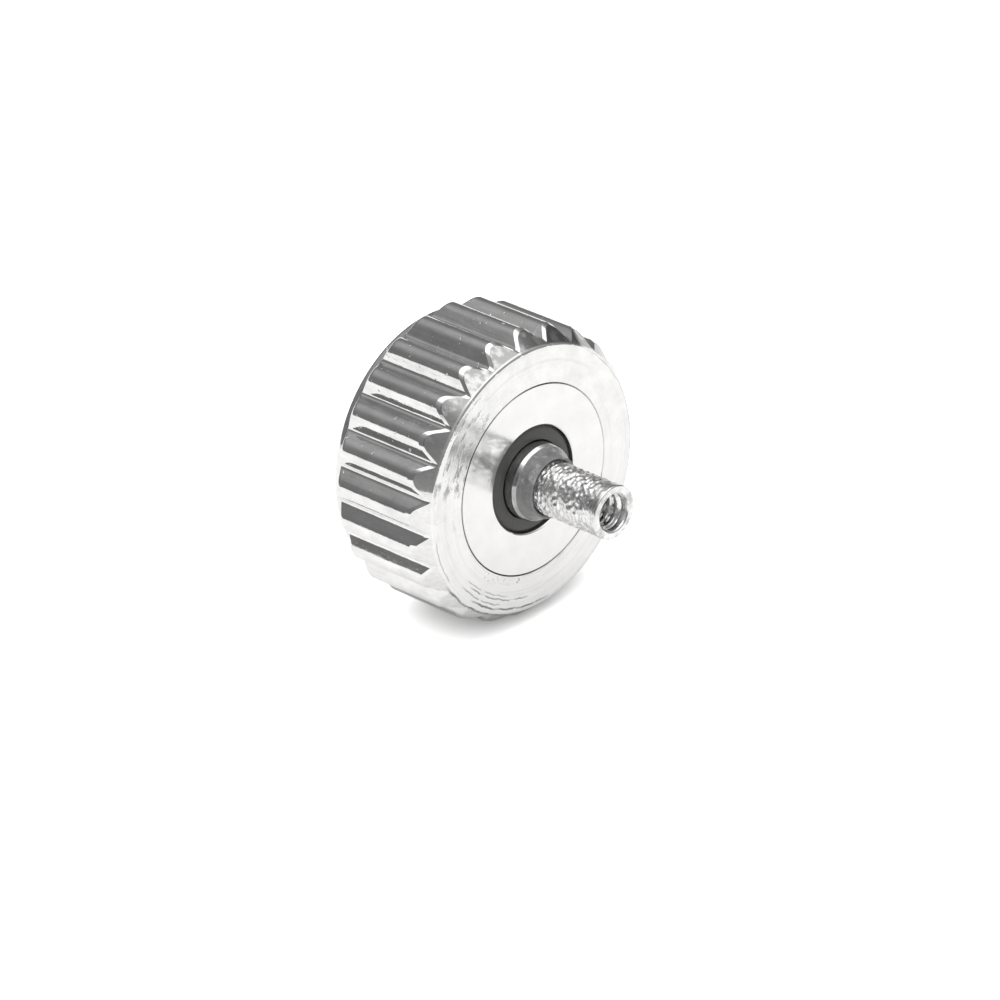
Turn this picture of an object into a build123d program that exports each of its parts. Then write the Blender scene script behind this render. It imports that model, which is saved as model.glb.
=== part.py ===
from build123d import *
import math
import os

# A watch crown of steel, with a sprung post. Lengths are in millimetres and angles in degrees.
# The crown's axis is Y: the post points to -Y, towards the watch, and the domed outer end is at +Y.
# The origin is on the axis, in the plane of the inner face. The crown stands on two of its flutes.

# One overrun for all cuts, and the clearances
overrun = 0.05
running_gap = 0.015          # post in its bush, and head in the housing, on each side
rest_gap = 0.01              # between the head and the bush when the post is fully out
spring_gap = 0.14            # round the spring, in the housing
gasket_gap = 0.02            # between the housing and the gasket

# Cap: fluted head with its plain shoulder, rim and dome
cap_tip_radius = 3.5         # over the tops of the flutes
flute_count = 24
flute_depth = 0.29
crest_share = 0.74           # radius of a flute's round crest, of half its width
flute_end = 2.9              # from the inner face to the back end of the valleys
flute_back_bevel = 0.25      # length of the slope at the back ends of the flutes
shoulder_drop = 0.34         # from the tops of the flutes down to the edge of the inner face
shoulder_angle = 36.0        # of the plain shoulder, to the axis
edge_bevel_width = 0.11      # of the shallow bevel round the inner face
edge_bevel_depth = 0.03
rim_drop = 0.3               # from the tops of the flutes down to the plain rim behind them
rim_length = 0.2
rim_round = 0.08
dome_height = 0.42           # of the outer end, above the rim

# Disc pressed into the inner face
disc_width = 0.98            # from its hole to the seam
disc_thickness = 0.34
seam_bevel = 0.02            # on both sides of the seam
disc_hole_bevel = 0.03

# Gasket, and the washer behind it
lip_width = 0.35             # of the rubber that shows, from the housing to the disc's hole
lip_sink = 0.03              # from the inner face down to the top of the rubber
lip_round_drop = 0.12        # how much the rubber rounds down at the disc's hole
lip_flat_width = 0.14        # level part of the rubber, beside the housing
flange_grip = 0.34           # how far the gasket reaches under the disc
flange_thickness = 0.6
washer_thickness = 0.2

# Housing, and the bush in its mouth
housing_wall = 0.115         # at the corners of the hexagonal bore
housing_reach = 0.3          # how far it stands out of the inner face
housing_bevel = 0.045
bush_wall = 0.13
bush_depth = 0.6             # of the part inside the housing
nose_length = 0.34
nose_foot_radius = 0.84
nose_edge = 0.03             # width of the nose's flat end
nose_countersink = 0.035

# Post: tapped hole, ridged outside and hexagonal head
thread_radius = 0.45         # of the tapped hole, to the tops of a 0.9 mm thread
thread_depth = 2.15
drill_point_angle = 118.0
thread_countersink = 0.03
post_wall = 0.19
post_reach = 2.5             # from the inner face to the tip
tip_bevel = 0.03
ridge_pitch = 0.115
ridge_depth = 0.018
ridges_from_tip = 0.14
head_step = 0.03             # from the post out to the flats of its head
head_length = 0.5
head_bevel = 0.05

# Spring and its seat
wire_radius = 0.06
spring_turns = 5.5
post_travel = 0.8
spring_spare = 0.07          # left between the turns when the post is fully in
seat_thickness = 0.15

# Radii, from the tapped hole outwards
post_radius = thread_radius + post_wall
bush_bore_radius = post_radius + running_gap
bush_radius = bush_bore_radius + bush_wall
head_flat_radius = post_radius + head_step
housing_flat_radius = head_flat_radius + running_gap
housing_corner_radius = housing_flat_radius / math.cos(math.pi / 6)
housing_radius = housing_corner_radius + housing_wall
gasket_bore_radius = housing_radius + gasket_gap
mouth_radius = gasket_bore_radius + lip_width
pocket_radius = mouth_radius + flange_grip
disc_radius = mouth_radius + disc_width
face_edge_radius = cap_tip_radius - shoulder_drop
valley_radius = cap_tip_radius - flute_depth
rim_radius = cap_tip_radius - rim_drop

# Places along the axis
gasket_back = disc_thickness + flange_thickness
washer_back = gasket_back + washer_thickness
bush_back = bush_depth - housing_reach
head_front = bush_back + rest_gap
head_back = head_front + head_length
spring_room = (spring_turns + 1) * 2 * wire_radius + spring_spare + post_travel
seat_front = head_back + spring_room
housing_back = seat_front + seat_thickness
rim_back = flute_end + rim_length


def turned(*outline):
    """A solid of revolution about Y, from a closed outline of (radius, depth) points."""
    face = make_face(Polyline(*outline, close=True))
    return revolve(face, Axis.Y)


def round_bar(radius, start, end):
    """A plain cylinder about Y."""
    return turned((0, start), (radius, start), (radius, end), (0, end))


def hex_bar(flat_radius, start, end):
    """A hexagonal bar along Y, with its flats at flat_radius from the axis."""
    section = Plane.XZ.offset(-start) * RegularPolygon(flat_radius, 6, major_radius=False)
    return extrude(section, start - end)


def flute_section():
    """The outline across the flutes: ridges with round crests, and flat flanks that meet in valleys."""
    half_pitch = math.pi / flute_count
    valley_side = valley_radius * math.sin(half_pitch)
    crest_radius = crest_share * valley_side
    crest_centre = cap_tip_radius - crest_radius
    valley_out = valley_radius * math.cos(half_pitch) - crest_centre
    flank_turn = math.atan2(valley_side, valley_out)
    flank_turn -= math.acos(crest_radius / math.hypot(valley_side, valley_out))
    flank_out = crest_centre + crest_radius * math.cos(flank_turn)
    flank_side = crest_radius * math.sin(flank_turn)

    def place(ridge, out, side):
        turn = (2 * ridge + 1) * half_pitch
        return (out * math.sin(turn) + side * math.cos(turn), out * math.cos(turn) - side * math.sin(turn))

    edges = []
    for ridge in range(flute_count):
        # the first ridge is half a pitch from the top, so that two ridges carry the crown
        foot = place(ridge, valley_radius * math.cos(half_pitch), -valley_side)
        rise, fall = place(ridge, flank_out, -flank_side), place(ridge, flank_out, flank_side)
        next_foot = place(ridge, valley_radius * math.cos(half_pitch), valley_side)
        edges.append(Line(foot, rise))
        edges.append(ThreePointArc(rise, place(ridge, cap_tip_radius, 0), fall))
        edges.append(Line(fall, next_foot))
    return make_face(Wire(edges))


def fluted_body():
    """The flutes, run out by the shoulder in front and by a steeper slope at the back."""
    outside = cap_tip_radius + overrun
    shoulder_slope = math.tan(math.radians(shoulder_angle))
    shoulder_end = edge_bevel_depth + (outside - face_edge_radius) / shoulder_slope
    bevel_slope = rim_drop / flute_back_bevel
    bevel_start = flute_end - (outside - rim_radius) / bevel_slope
    blank = turned(
        (0, 0),
        (face_edge_radius - edge_bevel_width, 0),
        (face_edge_radius, edge_bevel_depth),
        (outside, shoulder_end),
        (outside, bevel_start),
        (rim_radius, flute_end),
        (0, flute_end),
    )
    section = Plane.XZ.offset(overrun) * flute_section()
    return blank & extrude(section, -(flute_end + 2 * overrun))


def rim_and_dome():
    """The plain rim behind the flutes, and the domed outer end, which is bare."""
    dome_top = rim_back + dome_height
    dome_radius = (rim_radius ** 2 + dome_height ** 2) / (2 * dome_height)
    turn = math.asin(rim_radius / dome_radius) / 2
    middle = (dome_radius * math.sin(turn), dome_top - dome_radius * (1 - math.cos(turn)))
    outline = Polyline((0, dome_top), (0, flute_end), (rim_radius, flute_end), (rim_radius, rim_back))
    outline += ThreePointArc((rim_radius, rim_back), middle, (0, dome_top))
    face = make_face(outline)
    corner = face.vertices().filter_by(lambda v: abs(v.Y - rim_back) < overrun)
    return revolve(fillet(corner, rim_round), Axis.Y)


def crown_cap():
    """Fluted head, stepped inside for the disc, the gasket, the washer and the housing."""
    head = fluted_body() + rim_and_dome()
    head -= turned(
        (0, -overrun),
        (disc_radius + seam_bevel + overrun, -overrun),
        (disc_radius, seam_bevel),
        (disc_radius, disc_thickness),
        (pocket_radius, disc_thickness),
        (pocket_radius, washer_back),
        (housing_radius, washer_back),
        (housing_radius, housing_back),
        (0, housing_back),
    )
    return head


def retaining_disc():
    """Bright ring pressed into the cap, which holds the gasket in."""
    return turned(
        (mouth_radius + disc_hole_bevel, 0),
        (disc_radius - seam_bevel, 0),
        (disc_radius, seam_bevel),
        (disc_radius, disc_thickness),
        (mouth_radius, disc_thickness),
        (mouth_radius, disc_hole_bevel),
    )


def mouth_gasket():
    """Rubber ring with a flange under the disc and a rounded lip in the disc's hole."""
    lip_edge = lip_sink + lip_round_drop
    level_radius = gasket_bore_radius + lip_flat_width
    round_width = mouth_radius - level_radius
    half = math.sqrt(0.5)
    middle = (level_radius + round_width * half, lip_edge - lip_round_drop * half)
    outline = Polyline(
        (mouth_radius, lip_edge),
        (mouth_radius, disc_thickness),
        (pocket_radius, disc_thickness),
        (pocket_radius, gasket_back),
        (gasket_bore_radius, gasket_back),
        (gasket_bore_radius, lip_sink),
        (level_radius, lip_sink),
    )
    outline += ThreePointArc((level_radius, lip_sink), middle, (mouth_radius, lip_edge))
    return revolve(make_face(outline), Axis.Y)


def backing_washer():
    """Flat steel washer behind the gasket."""
    ring = round_bar(pocket_radius, gasket_back, washer_back)
    return ring - round_bar(gasket_bore_radius, gasket_back - overrun, washer_back + overrun)


def spring_housing():
    """Sleeve with a hexagonal bore right through, opened round at its mouth for the bush."""
    sleeve = turned(
        (0, -housing_reach),
        (housing_radius - housing_bevel, -housing_reach),
        (housing_radius, housing_bevel - housing_reach),
        (housing_radius, housing_back),
        (0, housing_back),
    )
    sleeve -= hex_bar(housing_flat_radius, bush_back, housing_back + overrun)
    return sleeve - round_bar(bush_radius, -housing_reach - overrun, bush_back)


def guide_bush():
    """Bush in the housing's mouth, with a conical nose. It guides the post and keeps its head in."""
    nose_end = -housing_reach - nose_length
    return turned(
        (bush_bore_radius, nose_end + nose_countersink),
        (bush_bore_radius + nose_countersink, nose_end),
        (bush_bore_radius + nose_countersink + nose_edge, nose_end),
        (nose_foot_radius, -housing_reach),
        (bush_radius, -housing_reach),
        (bush_radius, bush_back),
        (bush_bore_radius, bush_back),
    )


def ridged_outline(start, end):
    """Points down the post's side: fine ridges all round it, from start to end."""
    count = int((end - start) / ridge_pitch)
    points = []
    for k in range(count):
        ridge = start + k * ridge_pitch
        points += [(post_radius, ridge), (post_radius - ridge_depth, ridge + ridge_pitch / 2)]
    return points + [(post_radius, start + count * ridge_pitch)]


def stem_post():
    """Post with a blind tapped hole, fine ridges outside and a hexagonal head."""
    tip = -post_reach
    hole_bottom = tip + thread_depth
    drill_point = thread_radius / math.tan(math.radians(drill_point_angle / 2))
    shaft = turned(
        (0, hole_bottom + drill_point),
        (thread_radius, hole_bottom),
        (thread_radius, tip + thread_countersink),
        (thread_radius + thread_countersink, tip),
        (post_radius - tip_bevel, tip),
        (post_radius, tip + tip_bevel),
        *ridged_outline(tip + ridges_from_tip, -housing_reach - nose_length),
        (post_radius, head_back),
        (0, head_back),
    )
    head = hex_bar(head_flat_radius, head_front, head_back)
    corner_radius = head_flat_radius / math.cos(math.pi / 6)
    head &= turned(
        (0, head_front),
        (corner_radius, head_front),
        (corner_radius, head_back - head_bevel),
        (corner_radius - head_bevel, head_back),
        (0, head_back),
    )
    return shaft + head


def spring_path():
    """A helix about Y as quarter turns, each of two arcs that meet in one direction."""
    coil_radius = housing_flat_radius - spring_gap - wire_radius
    first, last = head_back + wire_radius, seat_front - wire_radius
    quarter = math.pi / 2
    count = round(spring_turns * 4)
    rise = (last - first) / (count * quarter)

    def at(k):
        turn = k * quarter
        place = Vector(coil_radius * math.cos(turn), first + rise * turn, coil_radius * math.sin(turn))
        way = Vector(-coil_radius * math.sin(turn), rise, coil_radius * math.cos(turn))
        return place, way.normalized()

    arcs = []
    for k in range(count):
        (p, p_way), (q, q_way) = at(k), at(k + 1)
        chord, both = q - p, p_way + q_way
        spread = 2 * (1 - p_way.dot(q_way))
        reach = (-chord.dot(both) + math.sqrt(chord.dot(both) ** 2 + spread * chord.dot(chord))) / spread
        joint = (p + q + (p_way - q_way) * reach) / 2
        joint_way = (q - q_way * reach) - (p + p_way * reach)
        arcs.append(TangentArc(p, joint, tangent=p_way))
        arcs.append(TangentArc(joint, q, tangent=joint_way.normalized()))
    return Wire(arcs)


def return_spring():
    """Coil spring between the post's head and the seat."""
    path = spring_path()
    return sweep(Plane(path @ 0, z_dir=path % 0) * Circle(wire_radius), path)


def spring_seat():
    """Disc that closes the back of the housing's bore."""
    return round_bar(head_flat_radius, seat_front, housing_back)


pieces = {
    "crown_cap": crown_cap,
    "retaining_disc": retaining_disc,
    "mouth_gasket": mouth_gasket,
    "backing_washer": backing_washer,
    "spring_housing": spring_housing,
    "guide_bush": guide_bush,
    "spring_seat": spring_seat,
    "return_spring": return_spring,
    "stem_post": stem_post,
}

os.makedirs("parts", exist_ok=True)
for name, make in pieces.items():
    export_step(make(), f"parts/{name}.step")
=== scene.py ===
import math

import bpy
import numpy as np
from mathutils import Matrix, Vector


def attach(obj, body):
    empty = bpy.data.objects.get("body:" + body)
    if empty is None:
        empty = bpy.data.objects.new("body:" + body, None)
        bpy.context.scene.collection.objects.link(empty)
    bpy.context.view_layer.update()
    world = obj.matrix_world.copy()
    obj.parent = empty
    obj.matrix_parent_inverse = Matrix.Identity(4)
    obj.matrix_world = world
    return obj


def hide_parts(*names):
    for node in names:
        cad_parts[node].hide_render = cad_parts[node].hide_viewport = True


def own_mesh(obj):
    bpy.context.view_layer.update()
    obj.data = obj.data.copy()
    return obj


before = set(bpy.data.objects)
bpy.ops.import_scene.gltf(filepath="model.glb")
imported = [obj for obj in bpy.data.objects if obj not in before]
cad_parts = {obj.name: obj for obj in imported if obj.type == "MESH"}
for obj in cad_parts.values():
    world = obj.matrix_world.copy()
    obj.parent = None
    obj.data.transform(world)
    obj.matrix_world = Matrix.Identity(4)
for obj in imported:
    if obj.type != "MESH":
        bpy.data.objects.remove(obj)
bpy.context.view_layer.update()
print("frame loaded:", sorted(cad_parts))

mm = 0.001
tiny = 1e-12  # a length that counts as none, and keeps a side of no length from dividing by zero

# how corners are rounded: points on the curve, the most of the shorter side that the curve takes,
# how far the point on the flat side stands off, and the most that it takes
rounding = {"steps": 6, "curveMost": 0.42, "lead": 1.25, "leadMost": 0.47}


def turnedTo(radius, depth, angle):
    # a point at radius from the Y axis, at depth along it, turned by angle from +Z towards +X
    return np.stack([radius * np.sin(angle), depth + 0 * angle, radius * np.cos(angle)], axis=-1)


def easeCorners(corners, bends, closed=False, steps=rounding["steps"]):
    # corners is (k, columns, 2): each corner with a bend becomes the parabola between the two points
    # where a circle of that radius would touch its sides, with one more point a little way down each side
    rows, count = [], len(corners)
    for k, corner in enumerate(corners):
        if bends[k] == 0 or (not closed and k in (0, count - 1)):
            rows.append(corner)
            continue
        back, ahead = corners[k - 1] - corner, corners[(k + 1) % count] - corner
        backLong = np.linalg.norm(back, axis=-1, keepdims=True) + tiny
        aheadLong = np.linalg.norm(ahead, axis=-1, keepdims=True) + tiny
        back, ahead = back / backLong, ahead / aheadLong
        turn = np.arccos(np.clip(-(back * ahead).sum(-1, keepdims=True), -1, 1))
        room = np.minimum(backLong, aheadLong)
        touch = np.minimum(bends[k] * np.tan(turn / 2), rounding["curveMost"] * room)
        lead = np.minimum(touch * rounding["lead"], rounding["leadMost"] * room)
        rows.append(corner + back * lead)
        for s in np.linspace(0, 1, steps + 1):
            rows.append((1 - s) ** 2 * (corner + back * touch) + 2 * s * (1 - s) * corner
                        + s ** 2 * (corner + ahead * touch))
        rows.append(corner + ahead * lead)
    return np.stack(rows)


def profileRows(corners, angles, closed=False):
    # corners are (radius, depth, bend), where radius and depth are numbers or have a value for each angle
    same = np.ones_like(angles)
    profile = np.stack([np.stack([radius * same, depth * same], axis=-1) for radius, depth, bend in corners])
    return easeCorners(profile, [bend for radius, depth, bend in corners], closed)


def gridFaces(rows, columns, rowsMeet=False):
    # quads of a grid that closes round its columns, and round its rows if they meet
    r = np.arange(rows if rowsMeet else rows - 1)[:, None]
    c = np.arange(columns)[None, :]
    here, below = r * columns, (r + 1) % rows * columns
    right = (c + 1) % columns
    return np.stack([here + c, here + right, below + right, below + c], axis=-1).reshape(-1, 4)


def fanFaces(pole, start, columns, turned=False):
    # triangles from the point pole to each side of the ring of points that begins at start
    c = np.arange(columns)
    first, second = start + c, start + (c + 1) % columns
    return np.stack([0 * c + pole, second, first] if turned else [0 * c + pole, first, second], axis=-1)


def addPiece(name, points, quads, fans, body, slotName, nodes, sharpFrom=40):
    # points in millimetres; fans are triangles at the poles; the faces are turned round if they point inwards
    points = np.asarray(points, float) * mm
    tris = np.concatenate([quads[:, [0, 1, 2]], quads[:, [0, 2, 3]], fans])
    a, b, c = points[tris[:, 0]], points[tris[:, 1]], points[tris[:, 2]]
    if np.einsum("ij,ij->i", a, np.cross(b, c)).sum() < 0:
        quads, fans = quads[:, ::-1], fans[:, ::-1]
    mesh = bpy.data.meshes.new(name)
    mesh.from_pydata(points, [], quads.tolist() + fans.tolist())
    mesh.update()
    mesh.shade_smooth()
    mesh.set_sharp_from_angle(angle=math.radians(sharpFrom))
    piece = bpy.data.objects.new(name, mesh)
    bpy.context.collection.objects.link(piece)
    mesh.materials.append(finishes[slotName])
    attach(piece, body)
    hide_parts(*nodes)
    print("made", name, "with", len(tris), "triangles")
    return piece


def turnProfile(profile, angles, closed=False):
    # profile is (rows, columns, 2) of radius and depth, one column for each angle;
    # a first or last row on the axis becomes one point with a fan of triangles round it
    startPole = not closed and profile[0, 0, 0] < tiny
    endPole = not closed and profile[-1, 0, 0] < tiny
    body = profile[1 if startPole else 0:-1 if endPole else None]
    points = turnedTo(body[..., 0], body[..., 1], angles[None, :]).reshape(-1, 3)
    rows, columns = body.shape[:2]
    fans = [np.zeros((0, 3), int)]
    if startPole:
        points = np.vstack([points, [[0, profile[0, 0, 1], 0]]])
        fans.append(fanFaces(len(points) - 1, 0, columns, turned=True))
    if endPole:
        points = np.vstack([points, [[0, profile[-1, 0, 1], 0]]])
        fans.append(fanFaces(len(points) - 1, (rows - 1) * columns, columns))
    return points, gridFaces(rows, columns, closed), np.concatenate(fans)


def roundAngles(count):
    return np.arange(count) * 2 * math.pi / count


def waves(seed, count, turns, lengths):
    # a repeatable uneven surface: the sum of count waves round the axis and along it, about 1 high
    draw = np.random.RandomState(seed)
    around = draw.randint(turns[0], turns[1], count)
    along = draw.uniform(lengths[0], lengths[1], count)
    phase = draw.uniform(0, 2 * math.pi, count)
    size = draw.uniform(0.4, 1.0, count)

    def at(angle, depth):
        total = np.zeros(np.broadcast(angle, depth).shape)
        for k in range(count):
            total += size[k] * np.sin(around[k] * angle + along[k] * depth + phase[k])
        return total / math.sqrt(count)
    return at


class Socket:
    # wraps a node's output so that sums on it add Math nodes
    def __init__(self, tree, link):
        self.tree, self.link = tree, link

    def maths(self, operation, *values):
        node = self.tree.nodes.new("ShaderNodeMath")
        node.operation = operation
        for k, value in enumerate(values):
            if isinstance(value, Socket):
                self.tree.links.new(value.link, node.inputs[k])
            else:
                node.inputs[k].default_value = value
        return Socket(self.tree, node.outputs[0])

    def __add__(self, other): return self.maths("ADD", self, other)
    def __radd__(self, other): return self.maths("ADD", other, self)
    def __sub__(self, other): return self.maths("SUBTRACT", self, other)
    def __rsub__(self, other): return self.maths("SUBTRACT", other, self)
    def __mul__(self, other): return self.maths("MULTIPLY", self, other)
    def __rmul__(self, other): return self.maths("MULTIPLY", other, self)
    def __truediv__(self, other): return self.maths("DIVIDE", self, other)
    def __pow__(self, other): return self.maths("POWER", self, other)
    def __abs__(self): return self.maths("ABSOLUTE", self)
    def atMost(self, most): return self.maths("MINIMUM", self, most)

    def ramp(self, low, high, bottom=0.0, top=1.0):
        # straight from bottom to top as this goes from low to high, level outside
        node = self.tree.nodes.new("ShaderNodeMapRange")
        node.clamp = True
        self.tree.links.new(self.link, node.inputs["Value"])
        for name, value in (("From Min", low), ("From Max", high), ("To Min", bottom), ("To Max", top)):
            node.inputs[name].default_value = value
        return Socket(self.tree, node.outputs["Result"])


class Finish:
    # one node tree: a new material's, or the one it is given
    def __init__(self, name, tree=None):
        if tree is None:
            self.material = bpy.data.materials.new(name)
            self.material.use_nodes = True
            tree = self.material.node_tree
        self.tree = tree
        self.tree.nodes.clear()

    def node(self, kind, settings=None, output=0, **inputs):
        # a socket is named with _ for each space, or by its number after a first _
        node = self.tree.nodes.new(kind)
        for name, value in (settings or {}).items():
            if name == "stops":
                for k, (place, colour) in enumerate(value):
                    stop = node.color_ramp.elements[k] if k < 2 else node.color_ramp.elements.new(place)
                    stop.position, stop.color = place, colour
            else:
                setattr(node, name, value)
        for name, value in inputs.items():
            socket = node.inputs[int(name[1:])] if name[0] == "_" else node.inputs[name.replace("_", " ")]
            if isinstance(value, Socket):
                self.tree.links.new(value.link, socket)
            else:
                socket.default_value = value
        return Socket(self.tree, node.outputs[output])

    def outputs(self, kind, *names, **inputs):
        # several outputs of one node
        node = self.node(kind, **inputs).link.node
        return [Socket(self.tree, node.outputs[name]) for name in names]

    def place(self):
        # the point in millimetres, its parts, and its distance from the crown's axis
        here = self.node("ShaderNodeTexCoord", output="Object")
        point = self.node("ShaderNodeVectorMath", {"operation": "SCALE"}, _0=here, Scale=1 / mm)
        x, y, z = self.outputs("ShaderNodeSeparateXYZ", 0, 1, 2, _0=point)
        return point, x, y, z, (x * x + z * z) ** 0.5

    def vector(self, x, y, z):
        return self.node("ShaderNodeCombineXYZ", _0=x, _1=y, _2=z)

    def noise(self, where, scale, detail=3.0, rough=0.5):
        return self.node("ShaderNodeTexNoise", Vector=where, Scale=scale, Detail=detail, Roughness=rough)

    def mixColours(self, share, first, second):
        return self.node("ShaderNodeMix", {"data_type": "RGBA"}, output=2, _0=share, _6=first, _7=second)

    def bump(self, height, strength, distance):
        return self.node("ShaderNodeBump", Height=height, Strength=strength, Distance=distance * mm)

    def surface(self, **inputs):
        self.close(self.node("ShaderNodeBsdfPrincipled", **inputs))
        return self.material

    def close(self, shader, kind="ShaderNodeOutputMaterial"):
        out = self.tree.nodes.new(kind)
        self.tree.links.new(shader.link, out.inputs["Surface"])


def grey(level, warm=0.0):
    return (level * (1 + warm), level, level * (1 - warm), 1.0)


# the thin seam between the cap's ring and the disc; sides says how dark it is, from which x to which
seam = {"radius": 2.2567, "half": 0.024, "core": 0.3, "tone": 0.05, "sides": (0.6, 1.9, 0.95, 0.35)}


def seamLine(x, radius):
    # full in the core of the seam, falling to nothing at half its width
    line = abs(radius - seam["radius"]).ramp(seam["core"] * seam["half"], seam["half"], 1, 0)
    return line * x.ramp(*seam["sides"])


def flutedSteel():
    # turned marks round the inner face, mottled streaks drawn along the flutes, painted shade low down near
    # the floor
    look = {
        "light": 0.95, "dark": 0.76, "faceDark": 0.83, "faceShine": 0.16, "fluteShine": 0.06,
        # greys of the marks on the steel and of the painted shade near the floor
        "mark": 0.25, "mottle": 0.42, "seam": seam["tone"], "valleyShade": 0.12, "crestShadeTone": 0.33, "shoulderMarkAndShade": 0.3,
        # where each zone begins or ends along the axis: from, to, and its share at the two
        "face": (0.03, 0.06, 1, 0), "flutes": (0.3, 0.6), "flutesBack": (2.9, 3.05, 1, 0.25),
        "dome": (2.95, 3.1), "arcsFront": (0.11, 0.14, 1, 0), "lowBack": (2.7, 2.82, 1, 0),
        "valleyShadeBack": (2.0, 2.6, 1, 0.3),
        # the same by height: rings are even low down, dents come high up, painted shade in the valleys and on
        # the crests below
        "ringsEven": (-1.0, 2.0, 1, 0.25), "dentsAbove": (0.0, 0.8), "valleyShadeBelow": (-1.65, -1.3, 0.85, 0),
        "crestShadeBelow": (-2.6, -2.5, 0.8, 0), "shoulderTop": (1.2, 2.5, 0.12, 1),
        "shoulderShadeFoot": (-3.0, -2.7, 0.7, 0),
        # and by distance from the axis
        "valleyShadeWithin": (3.25, 3.285, 1, 0), "crestShadeFrom": (3.35, 3.38), "shoulderFrom": (3.17, 3.2),
        "spotsFrom": (2.3, 2.34), "spotsTo": (2.42, 2.5, 1, 0), "faceEdge": 3.16, "faceEdgeY": 0.03,
        "shoulderAngle": 36.0, "shoulderSkin": (0.004, 0.02, 1, 0),
        # turned arcs on the face: radius, width, middle and half of the sweep in degrees, darkness, breaks
        "arcs": [
            (3.205, 0.034, -145, 29, 1.0, 0.2), (3.045, 0.034, -157, 26, 1.0, 0.5),
            (2.945, 0.022, -138, 15, 0.7, 0.9), (2.82, 0.024, -149, 22, 0.8, 0.9),
            (2.735, 0.02, -140, 17, 0.6, 1.0), (2.31, 0.018, 178, 19, 0.4, 0.8),
            (3.11, 0.02, -104, 12, 0.5, 0.6), (2.8, 0.05, 10, 36, 0.12, 0.4),
            (3.13, 0.024, 96, 60, 0.4, 0.2),
        ],
        "arcWander": 0.12, "arcCore": 0.3, "arcSoft": 0.4,
        # middle and half of the sweep of the spots and of the two mottled patches
        "spots": (-148, 20), "leftPatch": (-50, 27), "lowPatch": (-77, 26),
        "bumpStrength": 0.4, "bumpHeight": 0.014,
    }
    f = Finish("flutedSteel")
    point, x, y, z, radius = f.place()
    angle = f.node("ShaderNodeMath", {"operation": "ARCTAN2"}, _0=x, _1=z)
    onFace, onDome = y.ramp(*look["face"]), y.ramp(*look["dome"])
    onFlutes = y.ramp(*look["flutes"]) * y.ramp(*look["flutesBack"])

    def toward(middle, half):
        # 1 round the middle of an arc, falling to 0 at its ends
        middle, end = math.radians(middle), math.cos(math.radians(half))
        along = (x * math.sin(middle) + z * math.cos(middle)) / radius
        return along.ramp(end, end + look["arcSoft"] * (1 - end))

    rings = f.noise(f.vector(radius * 11.0, angle * 0.8, 0.0), 1.0, 4.0, 0.7)
    wander = f.noise(point, 3.0, 3.0, 0.6) - 0.5
    drawn = f.noise(f.vector(x * 13.0, y * 0.9, z * 13.0), 1.0, 3.0, 0.6)
    mottle = f.noise(f.vector(x * 4.5, y * 1.6, z * 4.5), 1.0, 4.0, 0.62)
    cloud = f.noise(point, 2.3, 4.0, 0.65)
    dents = f.noise(point, 6.5, 2.0, 0.6).ramp(0.69, 0.75) * z.ramp(*look["dentsAbove"])

    # the steel itself
    even = z.ramp(*look["ringsEven"])
    lines = onFace * (rings * even + cloud * (1 - even)) + (1 - onFace) * (drawn * 0.45 + mottle * 0.55)
    wear = (lines * 0.7 + cloud * 0.3).ramp(0.38, 0.6) * (1 - onDome * 0.65) + onDome * 0.6
    darker = f.mixColours(onFace, grey(look["dark"]), grey(look["faceDark"]))
    base = f.mixColours(wear, darker, grey(look["light"]))

    # marks on the face
    wavy = radius + wander * look["arcWander"]
    breaks = f.noise(f.vector(angle * 9.0, radius * 4.0, 0.0), 1.0, 2.0, 0.6).ramp(0.38, 0.5, 1, 0)
    arcs = 0
    for at, width, middle, half, dark, broken in look["arcs"]:
        line = abs(wavy - at).ramp(width * look["arcCore"], width, 1, 0)
        arcs = arcs + line * toward(middle, half) * (1 - breaks * broken) * dark
    arcs = arcs * y.ramp(*look["arcsFront"])
    spots = f.noise(point, 9.0, 2.0, 0.6).ramp(0.58, 0.64) * toward(*look["spots"]) * onFace
    spots = spots * radius.ramp(*look["spotsFrom"]) * radius.ramp(*look["spotsTo"])
    mottled = f.noise(f.vector(radius * 7.0, angle * 6.0, 0.0), 1.0, 4.0, 0.7).ramp(0.52, 0.62)
    mottled = mottled * onFace * (toward(*look["leftPatch"]) * 0.8 + toward(*look["lowPatch"]) * 0.2)

    # painted shade in the lowest valleys and on the crests where the crown stands, marks on the shoulder's
    # facets
    low = onFlutes * y.ramp(*look["lowBack"])
    valleyShade = radius.ramp(*look["valleyShadeWithin"]) * y.ramp(*look["valleyShadeBack"]) * z.ramp(*look["valleyShadeBelow"]) * low
    crestShade = (radius + wander * 0.06).ramp(*look["crestShadeFrom"]) * z.ramp(*look["crestShadeBelow"]) * low
    rise = 1 / math.tan(math.radians(look["shoulderAngle"]))
    overCone = y - look["faceEdgeY"] - (radius - look["faceEdge"]) * rise
    onShoulder = overCone.ramp(*look["shoulderSkin"]) * radius.ramp(*look["shoulderFrom"])
    # at the foot near the floor these marks are painted shade; higher up they are mottled marks, more of them
    # towards the top
    onShoulder = onShoulder * (z.ramp(*look["shoulderTop"]) + z.ramp(*look["shoulderShadeFoot"]))
    shoulderMarksAndShade = onShoulder * mottle.ramp(0.38, 0.52, 0.35, 0.9)

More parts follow.
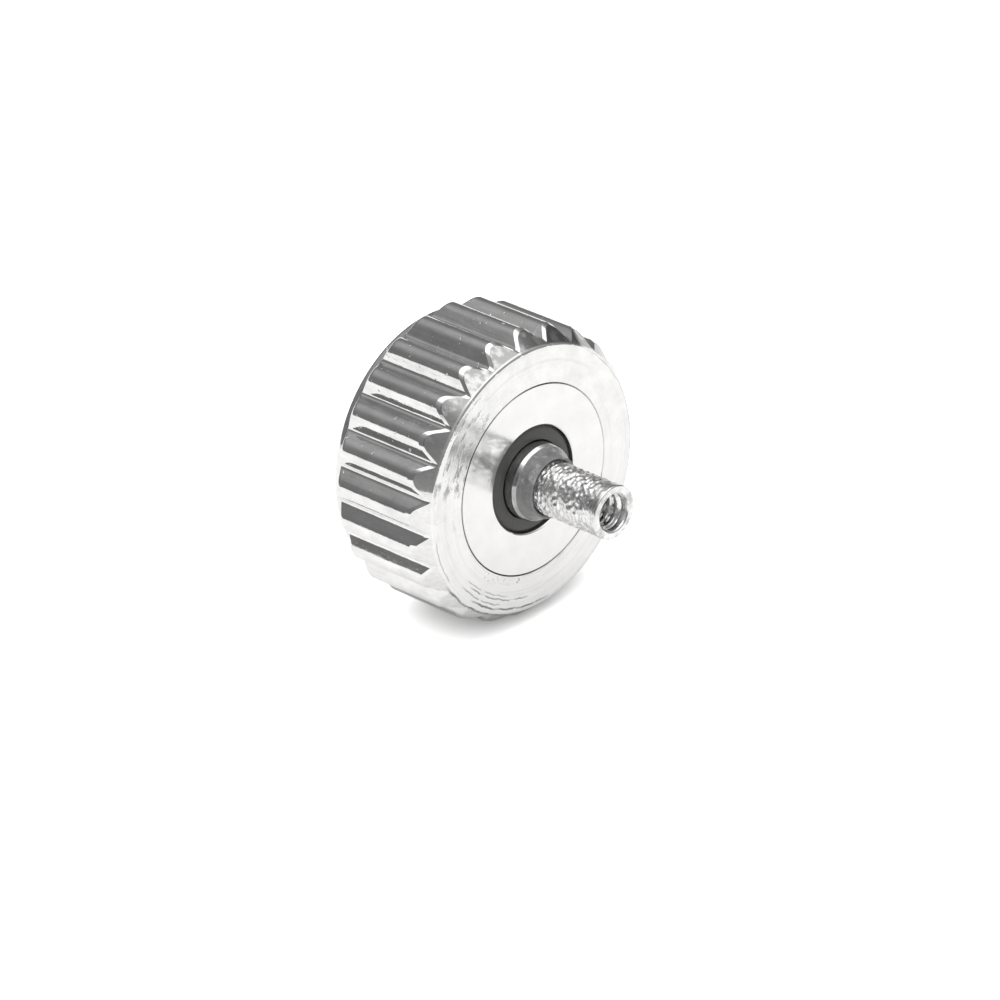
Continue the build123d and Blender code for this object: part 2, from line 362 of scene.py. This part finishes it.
    layers = [(spots * 0.8, "mark"), (arcs, "mark"), (mottled, "mottle"),
              (seamLine(x, radius) * onFace, "seam"), (valleyShade, "valleyShade"), (crestShade, "crestShadeTone"),
              (shoulderMarksAndShade, "shoulderMarkAndShade")]
    for share, tone in layers:
        base = f.mixColours(share, base, grey(look[tone]))
    shine = onFace * look["faceShine"] + (1 - onFace) * look["fluteShine"]
    rough = shine + (cloud.ramp(0.3, 0.7) - 0.5) * 0.06 + onFlutes * (mottle.ramp(0.3, 0.7) - 0.5) * 0.07
    faceHeight = rings * z.ramp(-2.5, 1.0, 0.5, 0.12) - 1.25 * arcs - 0.7 * mottled
    fluteHeight = drawn * 0.35 + mottle * 0.8 - dents * 1.4
    height = onFace * faceHeight + onFlutes * fluteHeight + cloud * 0.4
    normal = f.bump(height, look["bumpStrength"], look["bumpHeight"])
    return f.surface(Base_Color=base, Metallic=1.0, Roughness=rough, Normal=normal)


def discSteel():
    # smooth and bright, with a few faint rings and clouds
    look = {"light": 0.94, "dark": 0.88, "warm": 0.002, "shine": 0.13,
            "bumpStrength": 0.12, "bumpHeight": 0.01}
    f = Finish("discSteel")
    point, x, y, z, radius = f.place()
    rings = f.noise(f.vector(radius * 16.0, 0.0, 0.0), 1.0, 3.0, 0.6)
    cloud = f.noise(point, 1.6, 3.0, 0.6)
    base = f.mixColours(cloud.ramp(0.35, 0.65), grey(look["dark"], look["warm"]),
                        grey(look["light"], look["warm"]))
    base = f.mixColours(seamLine(x, radius), base, grey(seam["tone"]))
    rough = look["shine"] + (cloud.ramp(0.3, 0.7) - 0.5) * 0.06 + (rings.ramp(0.35, 0.65) - 0.5) * 0.04
    normal = f.bump(rings * 0.6 + cloud * 0.6, look["bumpStrength"], look["bumpHeight"])
    return f.surface(Base_Color=base, Metallic=1.0, Roughness=rough, Normal=normal)


def turnedSteel():
    # the housing: faint turned rings, stained at random all round, with painted shade on its lower half, most
    # of all on its bevel
    look = {"light": 0.96, "dark": 0.86, "stainAndShade": 0.44, "shadeBelow": (0.2, 0.7, 1, 0),
            "shadeBevel": (-0.23, -0.2, 0.7, 0.25), "shine": 0.16, "bumpStrength": 0.15, "bumpHeight": 0.01}
    f = Finish("turnedSteel")
    point, x, y, z, radius = f.place()
    rings = f.noise(f.vector(radius * 22.0, y * 30.0, 0.0), 1.0, 3.0, 0.6)
    cloud = f.noise(point, 4.0, 4.0, 0.6)
    base = f.mixColours((rings * 0.5 + cloud * 0.5).ramp(0.36, 0.64), grey(look["dark"]), grey(look["light"]))
    stainAndShade = f.noise(point, 2.4, 3.0, 0.6).ramp(0.42, 0.6) * 0.5
    # painted shade: darker on the lower half, most of all on the bevel at the mouth
    stainAndShade = stainAndShade + z.ramp(*look["shadeBelow"]) * y.ramp(*look["shadeBevel"])
    base = f.mixColours(stainAndShade, base, grey(look["stainAndShade"]))
    rough = look["shine"] + (cloud.ramp(0.3, 0.7) - 0.5) * 0.08
    normal = f.bump(rings * 0.5 + cloud, look["bumpStrength"], look["bumpHeight"])
    return f.surface(Base_Color=base, Metallic=1.0, Roughness=rough, Normal=normal)


def darkAcetal():
    # the bush: dark grey and softly glossy, with lighter scuffs and painted sheen on its upper half
    look = {"light": 0.27, "dark": 0.165, "scuffAndSheen": 0.5, "sheenAbove": (0.1, 0.5), "shine": 0.22,
            "bumpStrength": 0.3, "bumpHeight": 0.012}
    f = Finish("darkAcetal")
    point, x, y, z, radius = f.place()
    rings = f.noise(f.vector(radius * 14.0, y * 20.0, 0.0), 1.0, 3.0, 0.6)
    cloud = f.noise(point, 4.0, 4.0, 0.6)
    base = f.mixColours((rings * 0.3 + cloud * 0.7).ramp(0.36, 0.64), grey(look["dark"]), grey(look["light"]))
    # lighter patches only on the upper half: scuffs together with painted sheen
    scuffsAndSheen = f.noise(point, 3.1, 4.0, 0.65).ramp(0.52, 0.62) * z.ramp(*look["sheenAbove"])
    base = f.mixColours(scuffsAndSheen * 0.7, base, grey(look["scuffAndSheen"]))
    rough = look["shine"] + (cloud.ramp(0.3, 0.7) - 0.5) * 0.12
    normal = f.bump(rings * 0.3 + cloud, look["bumpStrength"], look["bumpHeight"])
    return f.surface(Base_Color=base, Metallic=0.0, Roughness=rough, Normal=normal)


def postSteel():
    # rough and bright like creased foil outside, streaks of thread inside
    look = {"light": 0.97, "dark": 0.6, "shine": 0.17, "outside": (0.5, 0.56), "creasedFrom": (-2.44, -2.3),
            "bumpStrength": 0.8, "bumpHeight": 0.04}
    f = Finish("postSteel")
    point, x, y, z, radius = f.place()
    torn = f.noise(f.vector(x * 2.2, y * 6.0, z * 2.2), 1.6, 5.0, 0.68)
    creased = f.noise(point, 4.4, 2.0, 0.5)
    cloud = f.noise(point, 9.0, 3.0, 0.6)
    base = f.mixColours((torn * 0.6 + cloud * 0.4).ramp(0.4, 0.56), grey(look["dark"]), grey(look["light"]))
    rough = look["shine"] + (cloud.ramp(0.3, 0.7) - 0.5) * 0.16
    rougher = radius.ramp(*look["outside"]) * y.ramp(*look["creasedFrom"])
    height = torn * (0.2 + rougher * 0.3) + creased * rougher + cloud * 0.1
    normal = f.bump(height, look["bumpStrength"], look["bumpHeight"])
    return f.surface(Base_Color=base, Metallic=1.0, Roughness=rough, Normal=normal)


def plainSteel(name, light, dark, shine):
    # stamped or drawn steel that is mostly hidden
    f = Finish(name)
    point, x, y, z, radius = f.place()
    drawn = f.noise(f.vector(x * 6.0, y * 1.2, z * 6.0), 1.5, 4.0, 0.6)
    cloud = f.noise(point, 3.0, 3.0, 0.6)
    base = f.mixColours((drawn * 0.6 + cloud * 0.4).ramp(0.36, 0.64), grey(dark), grey(light))
    rough = shine + (cloud.ramp(0.3, 0.7) - 0.5) * 0.1
    normal = f.bump(drawn + cloud * 0.5, 0.25, 0.008)
    return f.surface(Base_Color=base, Metallic=1.0, Roughness=rough, Normal=normal)


def blackRubber():
    # matt, a little dusty and worn
    look = {"light": 0.085, "dark": 0.06, "warm": 0.02, "shine": 0.42,
            "bumpStrength": 0.35, "bumpHeight": 0.012}
    f = Finish("blackRubber")
    point, x, y, z, radius = f.place()
    grain = f.noise(point, 26.0, 3.0, 0.6)
    cloud = f.noise(point, 2.6, 4.0, 0.6)
    worn = (grain * 0.35 + cloud * 0.65).ramp(0.38, 0.66)
    base = f.mixColours(worn, grey(look["dark"], look["warm"]), grey(look["light"], look["warm"]))
    rough = look["shine"] + (cloud.ramp(0.3, 0.7) - 0.5) * 0.2
    normal = f.bump(grain * 0.4 + cloud * 0.6, look["bumpStrength"], look["bumpHeight"])
    return f.surface(Base_Color=base, Metallic=0.0, Roughness=rough, Normal=normal)


finishes = {
    "polished_steel": flutedSteel(),
    "bright_disc_steel": discSteel(),
    "turned_steel": turnedSteel(),
    "dark_acetal": darkAcetal(),
    "post_steel": postSteel(),
    "plain_steel": plainSteel("plainSteel", light=0.72, dark=0.55, shine=0.3),
    "spring_steel": plainSteel("springSteel", light=0.62, dark=0.42, shine=0.28),
    "black_rubber": blackRubber(),
}
print("finishes:", sorted(finishes))


# the cap: flutes, shoulder, rim and dome
cap = {
    "tipRadius": 3.5, "fluteCount": 24, "fluteDepth": 0.29, "crestShare": 0.74, "crestSteps": 16,
    "valleyBend": 0.09, "valleySteps": 4,
    "faceEdge": 3.16, "shoulderAngle": 36.0, "edgeWidth": 0.11, "edgeDepth": 0.03, "edgeBend": 0.12,
    "ringBend": 0.06,
    "chamferAlong": 0.085, "chamferDown": 0.072, "chamferMost": 0.7, "chamferBend": 0.02,
    "fluteEnd": 2.9, "backBevel": 0.2, "backBend": 0.14,
    "rimRadius": 3.2, "rimBack": 3.1, "rimRound": 0.1, "rimFoot": 0.02, "domeHeight": 0.42, "domeSteps": 14,
    "discRadius": 2.2567, "discDepth": 0.34, "seamBevel": 0.02, "seamBend": 0.008,
    "pocketRadius": 1.6167, "washerBack": 1.14, "housingRadius": 0.9067, "housingBack": 2.61,
}


def fluteColumns(c):
    # the outline across the flutes as angle and radius: each ridge has a round crest and flat flanks,
    # which meet in narrow valleys with a small round at the bottom
    half = math.pi / c["fluteCount"]
    valley = c["tipRadius"] - c["fluteDepth"]
    side, out = valley * math.sin(half), valley * math.cos(half)
    crest = c["crestShare"] * side
    centre = c["tipRadius"] - crest
    turn = math.atan2(side, out - centre) - math.acos(crest / math.hypot(side, out - centre))
    sweep = np.linspace(-turn, turn, c["crestSteps"] + 1)
    ridgeOut = np.concatenate([[out], centre + crest * np.cos(sweep)])
    ridgeSide = np.concatenate([[-side], crest * np.sin(sweep)])
    ridges = (2 * np.arange(c["fluteCount"]) + 1)[:, None] * half
    x = ridgeOut * np.sin(ridges) + ridgeSide * np.cos(ridges)
    z = ridgeOut * np.cos(ridges) - ridgeSide * np.sin(ridges)
    corners = np.stack([x, z], axis=-1).reshape(-1, 1, 2)
    bends = ([c["valleyBend"]] + [0] * (c["crestSteps"] + 1)) * c["fluteCount"]
    outline = easeCorners(corners, bends, closed=True, steps=c["valleySteps"])[:, 0]
    return np.arctan2(outline[:, 0], outline[:, 1]), np.hypot(outline[:, 0], outline[:, 1])


def makeCap(c):
    # a profile turned round the axis, whose outer radius is the flutes' outline at each angle; the shoulder
    # is a cone, so its depth grows evenly with that radius, and the dome is a slice of a sphere
    angles, flute = fluteColumns(c)
    domeRadius = (c["rimRadius"] ** 2 + c["domeHeight"] ** 2) / (2 * c["domeHeight"])
    domeTop = c["rimBack"] + c["domeHeight"]
    arc = np.linspace(0, math.asin(c["rimRadius"] / domeRadius), c["domeSteps"])
    dome = [(domeRadius * math.sin(t), domeTop - domeRadius * (1 - math.cos(t)), 0) for t in arc[:-1]]
    lean = math.radians(c["shoulderAngle"])
    shoulder = c["edgeDepth"] + (flute - c["faceEdge"]) / math.tan(lean)
    reach = np.minimum(c["chamferDown"], c["chamferMost"] * (flute - c["faceEdge"]) / math.sin(lean))
    backSlope = c["backBevel"] / (c["tipRadius"] - c["rimRadius"])
    rows = profileRows(dome + [
        (c["rimRadius"], c["rimBack"], c["rimRound"]),
        (c["rimRadius"], c["fluteEnd"], c["rimFoot"]),
        (flute, c["fluteEnd"] - (flute - c["rimRadius"]) * backSlope, c["backBend"]),
        (flute, shoulder + c["chamferAlong"], c["chamferBend"]),
        (flute - reach * math.sin(lean), shoulder - reach * math.cos(lean), c["chamferBend"]),
        (c["faceEdge"], c["edgeDepth"], c["edgeBend"]),
        (c["faceEdge"] - c["edgeWidth"], 0, c["ringBend"]),
        (c["discRadius"] + c["seamBevel"], 0, c["seamBend"]),
        (c["discRadius"], c["seamBevel"], 0),
        (c["discRadius"], c["discDepth"], 0),
        (c["pocketRadius"], c["discDepth"], 0),
        (c["pocketRadius"], c["washerBack"], 0),
        (c["housingRadius"], c["washerBack"], 0),
        (c["housingRadius"], c["housingBack"], 0),
        (0, c["housingBack"], 0),
    ], angles)
    points, quads, fans = turnProfile(rows, angles)
    addPiece("cap_steel", points, quads, fans, "crown", "polished_steel", ["crown_cap"])


makeCap(cap)


# plain turned pieces: disc, gasket and bush, with their corners as radius, depth and bend
turned = {
    "disc_steel": {
        "nodes": ["retaining_disc"], "slot": "bright_disc_steel", "around": 256,
        "profile": [(1.3067, 0, 0.012), (2.2367, 0, 0.008), (2.2567, 0.02, 0), (2.2567, 0.34, 0),
                    (1.2767, 0.34, 0), (1.2767, 0.03, 0.012)],
    },
    "gasket_rubber": {
        "nodes": ["mouth_gasket"], "slot": "black_rubber", "around": 192,
        "profile": [(1.2767, 0.15, 0.02), (1.2767, 0.34, 0), (1.6167, 0.34, 0.02), (1.6167, 0.94, 0.02),
                    (0.9267, 0.94, 0.02), (0.9267, 0.03, 0.03), (1.0667, 0.03, 0.2), (1.215, 0.068, 0.12)],
    },
    "bush_acetal": {
        "nodes": ["guide_bush"], "slot": "dark_acetal", "around": 192,
        "profile": [(0.655, -0.605, 0.008), (0.69, -0.64, 0.008), (0.72, -0.64, 0.012), (0.78, -0.42, 0.3),
                    (0.872, -0.3, 0.004), (0.785, -0.3, 0), (0.785, 0.3, 0), (0.655, 0.3, 0)],
    },
}


def makeTurned(name, t):
    # a closed profile turned round the axis: its radius and depth are the same at each angle
    angles = roundAngles(t["around"])
    points, quads, fans = turnProfile(profileRows(t["profile"], angles, closed=True), angles, closed=True)
    addPiece(name, points, quads, fans, "crown", t["slot"], t["nodes"])


for name, t in turned.items():
    makeTurned(name, t)


# housing: round outside, hexagonal bore, with a round seat for the bush in its mouth
housing = {
    "radius": 0.9067, "mouth": -0.3, "back": 2.61, "chamferIn": 0.034, "chamferLong": 0.095, "flat": 0.685,
    "seat": 0.785, "seatEnd": 0.3, "seatBend": 0.006, "mouthBend": 0.008, "chamferBend": 0.03,
    "around": 192, "sharpFrom": 30,
}


def hexRadius(flat, angles):
    # distance from the axis to a hexagon with its flats at flat, with a corner on +X
    return flat / np.cos((angles + math.pi / 6) % (math.pi / 3) - math.pi / 6)


def makeHousing(h):
    # a closed profile turned round the axis, whose bore has a hexagon's radius at each angle
    angles = roundAngles(h["around"])
    bore = hexRadius(h["flat"], angles)
    rows = profileRows([
        (h["seat"], h["mouth"], h["seatBend"]),
        (h["radius"] - h["chamferIn"], h["mouth"], h["mouthBend"]),
        (h["radius"], h["mouth"] + h["chamferLong"], h["chamferBend"]),
        (h["radius"], h["back"], 0),
        (bore, h["back"], 0),
        (bore, h["seatEnd"], 0),
        (h["seat"], h["seatEnd"], 0),
    ], angles, closed=True)
    points, quads, fans = turnProfile(rows, angles, closed=True)
    addPiece("housing_steel", points, quads, fans, "crown", "turned_steel", ["spring_housing"],
             h["sharpFrom"])


makeHousing(housing)


# post: hexagonal head, torn ridges outside, a real thread in its hole
post = {
    "radius": 0.64, "tip": -2.5, "tipBevel": 0.03, "headFront": 0.31, "headBack": 0.81, "headFlat": 0.67,
    "headBevel": 0.05, "around": 240, "sharpFrom": 50,
    # the rounds at the tip: share of tipBevel along and in, then share of countersink along and out
    "tipRound": [(1.4, 0), (1, 1 / 30), (0.4, 0.35), (0.1, 0.75), (0, 1.1), (0, 1.5)],
    "holeRound": [(0, 1.3), (0.15, 0.8)],
    "ridgesFrom": -2.36, "ridgesTo": -0.64, "ridgePitch": 0.115, "ridgeDepth": 0.032, "rowsPerRidge": 8,
    # uneven surfaces: seed, count of waves, their turns round the post, their turns along it
    "wander": (4, 14, (1, 9), (-14, 14)), "tear": (7, 40, (3, 30), (-60, 60)),
    "patch": (11, 16, (2, 12), (-16, 16)), "lump": (19, 36, (6, 27), (-38, 38)),
    # how far the ridges wander in pitches, and how the dips below the outer skin are made up in ridge depths
    "wanderShare": 0.08, "tearShare": 0.1, "lumpShare": 0.42, "skin": 0.35, "deepest": 1.3,
    "evenShare": 0.5, "patchShare": 0.55, "wornShare": 0.3, "wornAt": 0.4, "evenLeast": 0.05,
    "fadeLong": 0.3, "fadeLeast": 0.1,
    "holeRadius": 0.45, "holeDepth": 2.15, "countersink": 0.03, "drillAngle": 118.0,
    "threadPitch": 0.225, "threadDepth": 0.085, "threadTop": 1.5, "threadSlope": 4.5, "rowsPerTurn": 12,
}


def makePost(p):
    # a profile turned round the axis: the radius at each angle and depth is the post's, less the dips of
    # the torn ridges; in the hole it is the bore's, less a crest where depth in pitches plus the turn
    # round the axis comes near a half, which makes a spiral of one start
    angles = roundAngles(p["around"])
    head = hexRadius(p["headFlat"], angles)
    headCorner = p["headFlat"] / math.cos(math.pi / 6)
    tip, bottom = p["tip"], p["tip"] + p["holeDepth"]
    outline = [(0, p["headBack"]), (np.minimum(head, headCorner - p["headBevel"]), p["headBack"]),
               (head, p["headBack"] - p["headBevel"]), (head, p["headFront"]),
               (p["radius"], p["headFront"]), (p["radius"], p["ridgesTo"] + 0.03)]
    # the ridges: about even round the post, but torn, so that they wander and break, most of all on top
    wander, tear, patch, lump = (waves(*p[name]) for name in ("wander", "tear", "patch", "lump"))
    for d in np.arange(p["ridgesTo"], p["ridgesFrom"], -p["ridgePitch"] / p["rowsPerRidge"]):
        way = (d / p["ridgePitch"] + p["wanderShare"] * wander(angles, d)) % 1.0
        cut = 2 * np.abs(way - 0.5)
        fade = np.clip((d - p["ridgesFrom"]) / p["fadeLong"], p["fadeLeast"], 1)
        worn = p["wornShare"] * np.cos(angles + p["wornAt"])
        even = fade * np.clip(p["evenShare"] + p["patchShare"] * patch(angles, d) - worn, p["evenLeast"], 1.0)
        uneven = p["tearShare"] * tear(angles, d) + p["lumpShare"] * fade * lump(angles, d)
        dip = p["ridgeDepth"] * (even * cut + uneven + p["skin"])
        outline.append((p["radius"] - np.clip(dip, 0, p["deepest"] * p["ridgeDepth"]), d))
    outline.append((p["radius"], p["ridgesFrom"] - 0.01))
    outline += [(p["radius"] - inward * p["tipBevel"], tip + along * p["tipBevel"])
                for along, inward in p["tipRound"]]
    outline += [(p["holeRadius"] + outward * p["countersink"], tip + along * p["countersink"])
                for along, outward in p["holeRound"]]
    # the thread, run out at both ends
    start = tip + p["countersink"]
    for d in np.arange(start, bottom, p["threadPitch"] / p["rowsPerTurn"]):
        turn = (d / p["threadPitch"] + angles / (2 * math.pi)) % 1.0
        crest = np.clip(p["threadTop"] - np.abs(turn - 0.5) * p["threadSlope"], 0, 1)
        run = max(0, min(1.0, (d - start) / p["threadPitch"], (bottom - d) / p["threadPitch"]))
        outline.append((p["holeRadius"] - p["threadDepth"] * crest * run, d))
    drill = p["holeRadius"] / math.tan(math.radians(p["drillAngle"] / 2))
    outline += [(p["holeRadius"], bottom), (0, bottom + drill)]
    rows = profileRows([(radius, depth, 0) for radius, depth in outline], angles)
    points, quads, fans = turnProfile(rows, angles)
    addPiece("post_steel", points, quads, fans, "post", "post_steel", ["stem_post"], p["sharpFrom"])


makePost(post)


# spring: a closed coil with a mesh of its own, made at rest; the real spring flattens as the post goes in
spring = {"wire": 0.06, "coil": 0.485, "turns": 5.5, "first": 0.87, "last": 2.40, "travel": 0.8, "round": 14,
          "stepsPerTurn": 48}


def makeSpring(s):
    # a circle carried along a helix about the axis, with a flat cap of triangles on each end
    count = round(s["turns"] * s["stepsPerTurn"])
    turn = np.linspace(0, s["turns"] * 2 * math.pi, count + 1)
    rise = (s["last"] - s["first"]) / (s["turns"] * 2 * math.pi)
    line = np.stack([s["coil"] * np.cos(turn), s["first"] + rise * turn, s["coil"] * np.sin(turn)], axis=-1)
    out = np.stack([np.cos(turn), 0 * turn, np.sin(turn)], axis=-1)
    way = np.stack([-s["coil"] * np.sin(turn), 0 * turn + rise, s["coil"] * np.cos(turn)], axis=-1)
    way /= np.linalg.norm(way, axis=-1, keepdims=True)
    side = np.cross(way, out)
    around = roundAngles(s["round"])[None, :, None]
    rings = line[:, None] + s["wire"] * (np.cos(around) * out[:, None] + np.sin(around) * side[:, None])
    points = np.vstack([rings.reshape(-1, 3), line[:1], line[-1:]])
    fans = np.concatenate([fanFaces(len(points) - 2, 0, s["round"], turned=True),
                           fanFaces(len(points) - 1, count * s["round"], s["round"])])
    piece = addPiece("spring_coil", points, gridFaces(count + 1, s["round"]), fans, "crown", "spring_steel",
                     ["return_spring"])
    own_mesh(piece)


makeSpring(spring)

# the hidden washer and seat keep their own shape
for node in ("backing_washer", "spring_seat"):
    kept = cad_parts[node]
    for slot in kept.material_slots:
        slot.material = finishes["plain_steel"]
    if not kept.material_slots:
        kept.data.materials.append(finishes["plain_steel"])
print("kept as they are: backing_washer, spring_seat")


# floor: it glows white to the camera, and less close under the crown, where little sky shows, so that
# its shadow stays there; opened is the share of open sky at which that glow begins and is full
floorLook = {"size": 900.0, "height": -3.47, "light": 0.9, "warm": 0.004, "glow": 0.07, "openGlow": 0.93,
             "shinyGlow": 0.19, "openWithin": 1.15, "openSamples": 8, "opened": (0.02, 0.88)}


def makeFloor(s):
    half, low = s["size"] / 2 * mm, s["height"] * mm
    mesh = bpy.data.meshes.new("floor")
    mesh.from_pydata([(-half, -half, low), (half, -half, low), (half, half, low), (-half, half, low)], [],
                     [(0, 1, 2, 3)])
    floor = bpy.data.objects.new("floor", mesh)
    bpy.context.collection.objects.link(floor)
    f = Finish("paleFloor")
    seen, shiny = f.outputs("ShaderNodeLightPath", "Is Camera Ray", "Is Glossy Ray")
    cloth = f.node("ShaderNodeBsdfDiffuse", Color=grey(s["light"], s["warm"]))
    sky = f.node("ShaderNodeAmbientOcclusion", {"samples": s["openSamples"]}, output="AO",
                 Distance=s["openWithin"] * mm)
    opened = sky.ramp(*s["opened"])
    strength = seen * (s["glow"] + opened * s["openGlow"]) + shiny * opened * s["shinyGlow"]
    glow = f.node("ShaderNodeEmission", Color=grey(1.0, s["warm"]), Strength=strength)
    f.close(f.node("ShaderNodeAddShader", _0=cloth, _1=glow))
    mesh.materials.append(f.material)


# sky: plain white to the camera; mirrored in the steel, a pale strip at the horizon, grey walls and one
# large soft box overhead, which leans towards +X and comes lower in front, where the walls are lighter;
# to all else a plain even light with a little of that sky in it
skyLook = {
    "white": 1.0, "warm": 0.004, "lean": 0.13, "front": (-1, 0, 0.15, 0), "frontWalls": (-0.35, -0.1, 1.6, 1),
    "brightest": 4.2, "shinyMost": 1.5, "ambient": 0.9, "skyShare": 0.2,
    # height from the horizon up to straight overhead, and the light there
    "stops": [(0.0, 1.0), (0.03, 1.0), (0.08, 0.17), (0.3, 0.17), (0.55, 0.2), (0.67, 0.28), (0.77, 0.38),
              (0.82, 0.62), (0.86, 0.97), (0.91, 2.2), (0.95, 4.2)],
}


def makeSky(s):
    world = bpy.data.worlds.new("studio")
    bpy.context.scene.world = world
    world.use_nodes = True
    f = Finish("studio", world.node_tree)
    way = f.node("ShaderNodeTexCoord", output="Generated")
    x, y, z = f.outputs("ShaderNodeSeparateXYZ", 0, 1, 2, _0=way)
    seen, shiny = f.outputs("ShaderNodeLightPath", "Is Camera Ray", "Is Glossy Ray")
    stops = [(high, grey(light / s["brightest"])) for high, light in s["stops"]]
    height = z + x * z * s["lean"] + y.ramp(*s["front"])
    light = s["brightest"] * f.node("ShaderNodeValToRGB", {"stops": stops}, Fac=height)
    mirrored = (light * y.ramp(*s["frontWalls"])).atMost(s["shinyMost"])
    diffuse = light * s["skyShare"] + s["ambient"] * (1 - s["skyShare"])
    light = shiny * mirrored + (1 - shiny) * diffuse
    strength = seen * s["white"] + (1 - seen) * light
    glow = f.node("ShaderNodeBackground", Color=grey(1.0, s["warm"]), Strength=strength)
    f.close(glow, "ShaderNodeOutputWorld")


camera = {"azimuth": -43.03, "elevation": 29.28, "roll": -5.28, "distance": 141.3, "pixelsPerMm": 44.8,
          "originAt": (533.8, 479.7), "sensor": 36.0, "image": 1000.0, "near": 0.005, "far": 5.0}


def makeCamera(c):
    # the view direction in the crown's frame, and the origin's place in the picture as a small shift
    a, e = math.radians(c["azimuth"]), math.radians(c["elevation"])
    back = Vector((math.sin(a) * math.cos(e), -math.cos(a) * math.cos(e), math.sin(e)))
    right = Vector((0, 0, 1)).cross(back).normalized()
    right = Matrix.Rotation(math.radians(c["roll"]), 3, back) @ right
    up = back.cross(right)
    data = bpy.data.cameras.new("camera")
    data.sensor_width = c["sensor"]
    data.lens = c["pixelsPerMm"] * c["distance"] / c["image"] * c["sensor"]
    data.shift_x = (c["image"] / 2 - c["originAt"][0]) / c["image"]
    data.shift_y = (c["originAt"][1] - c["image"] / 2) / c["image"]
    data.clip_start, data.clip_end = c["near"], c["far"]
    viewer = bpy.data.objects.new("camera", data)
    bpy.context.collection.objects.link(viewer)
    viewer.matrix_world = Matrix.Translation(back * c["distance"] * mm) @ \
        Matrix((right, up, back)).transposed().to_4x4()
    bpy.context.scene.camera = viewer


makeFloor(floorLook)
makeSky(skyLook)
makeCamera(camera)
bpy.context.scene.view_settings.view_transform = "Standard"
print("studio made")
